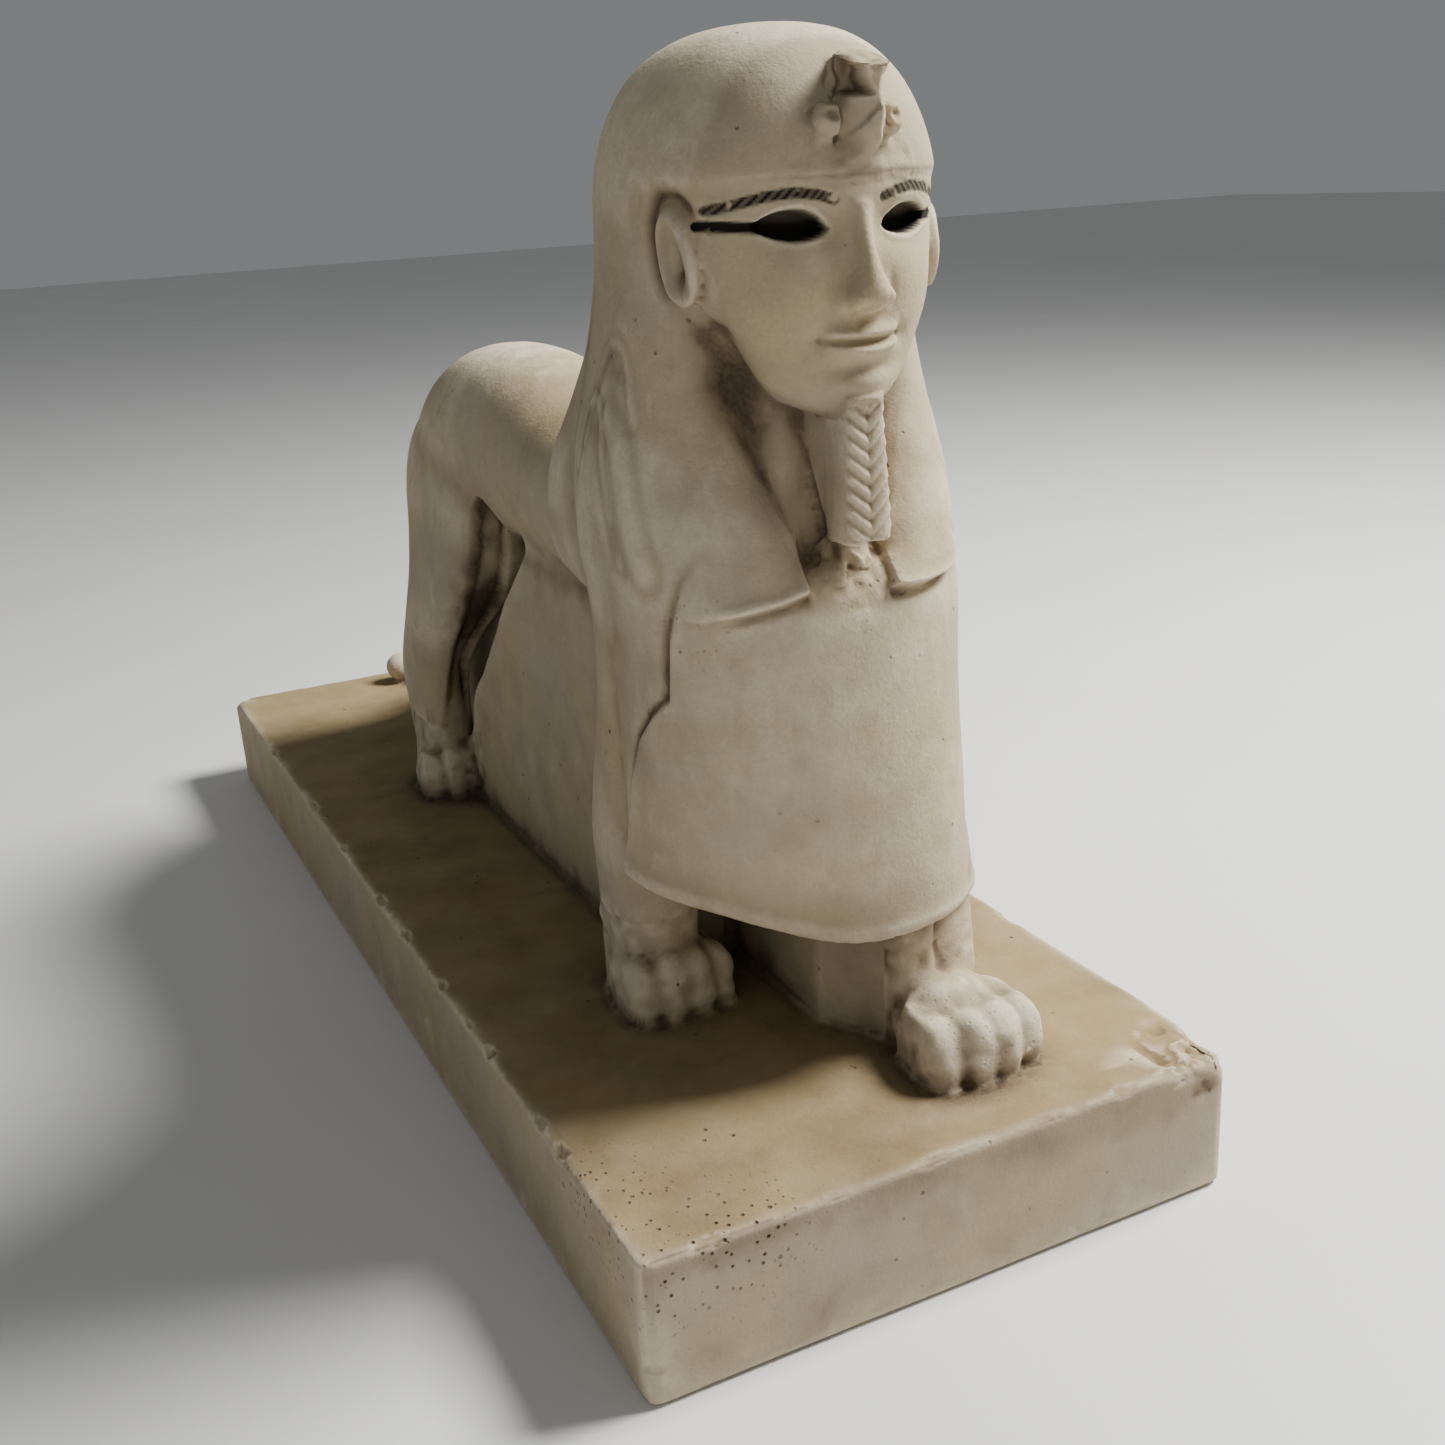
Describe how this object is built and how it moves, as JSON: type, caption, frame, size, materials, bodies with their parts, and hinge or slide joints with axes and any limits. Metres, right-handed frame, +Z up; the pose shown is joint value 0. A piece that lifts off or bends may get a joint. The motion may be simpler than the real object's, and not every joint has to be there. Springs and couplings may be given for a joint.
{
  "type": "sphinx statue",
  "caption": "Walking sphinx statue cast in plaster: lion's body on a solid web, royal head with plaited beard, apron and forehead cobra, on a long rectangular plinth.",
  "frame": {"origin": "middle of the plinth's underside", "axes": "+Z up, the sphinx faces -Y along the plinth's length, +X is the sphinx's left side"},
  "size_m": [0.177, 0.5, 0.3095],
  "materials": {
    "plaster": "matte, aged and dusty"
  },
  "bodies": {
    "root": {"sphinx": "plaster"}
  },
  "joints": []
}
